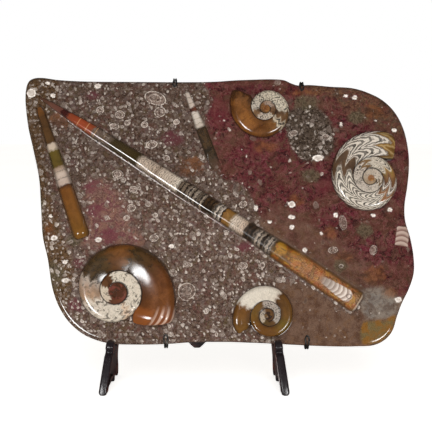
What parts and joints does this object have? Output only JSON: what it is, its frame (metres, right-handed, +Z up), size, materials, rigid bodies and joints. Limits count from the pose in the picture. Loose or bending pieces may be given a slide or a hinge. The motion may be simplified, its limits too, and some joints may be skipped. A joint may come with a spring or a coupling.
{
  "type": "polished fossil plaque",
  "caption": "Slab of polished fossil limestone with straight and coiled shells in low relief, held by a wire hanger and leaning in a small wooden easel.",
  "frame": {"origin": "middle of the object's footprint box, on the floor under the easel's feet", "axes": "+X along the slab to the viewer's right, +Y away from the viewer towards the slab's back, +Z up"},
  "size_m": [0.4264, 0.0986, 0.3384],
  "materials": {
    "fossil_stone": "polished",
    "lacquered_wood": "semi-gloss dark lacquer",
    "dark_wire": "dark coated wire",
    "spring_steel": "bright, slightly dulled"
  },
  "bodies": {
    "root": {"slab": "fossil_stone", "hanger_upper_wire": "dark_wire", "hanger_lower_wire": "dark_wire", "hanger_spring_left": "spring_steel", "hanger_spring_right": "spring_steel", "easel_board_left": "lacquered_wood", "easel_board_right": "lacquered_wood", "easel_rail": "lacquered_wood"}
  },
  "joints": []
}
